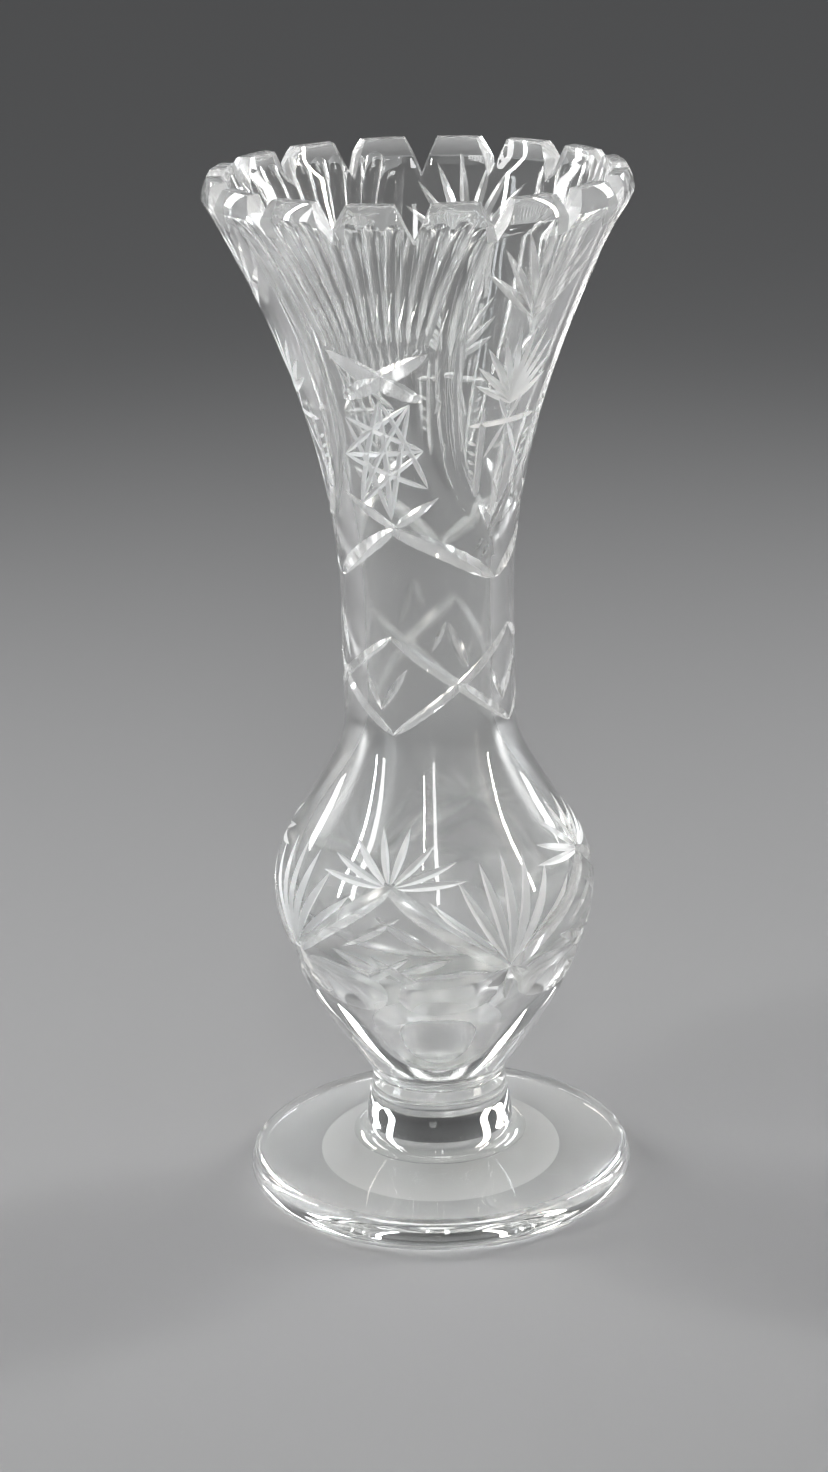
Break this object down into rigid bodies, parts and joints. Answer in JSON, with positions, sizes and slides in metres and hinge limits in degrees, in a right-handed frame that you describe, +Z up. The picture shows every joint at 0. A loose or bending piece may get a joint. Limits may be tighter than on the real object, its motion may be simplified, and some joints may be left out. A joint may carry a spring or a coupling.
{
  "type": "cut crystal vase",
  "caption": "Footed vase in clear cut crystal: round foot, solid stem, onion-shaped bulb, slim neck and a tall flare with a toothed rim and wheel-cut fans, stars and flutes.",
  "frame": {"origin": "on the table at the middle of the foot", "axes": "+Z up along the vase's axis; -Y faces the viewer, towards the fan of flutes that is a little left of the front"},
  "size_m": [0.108, 0.108, 0.275],
  "materials": {
    "foot_glass": "clear lead crystal, fire polished, with a ground and polished hollow underneath",
    "stem_glass": "clear lead crystal, fire polished",
    "merese_glass": "clear lead crystal, fire polished",
    "cut_glass": "clear lead crystal, wheel cut, with polished mitres and flutes and a faint satin in the fine cuts"
  },
  "bodies": {
    "root": {"foot": "foot_glass", "stem": "stem_glass", "merese": "merese_glass", "bowl": "cut_glass"}
  },
  "joints": []
}
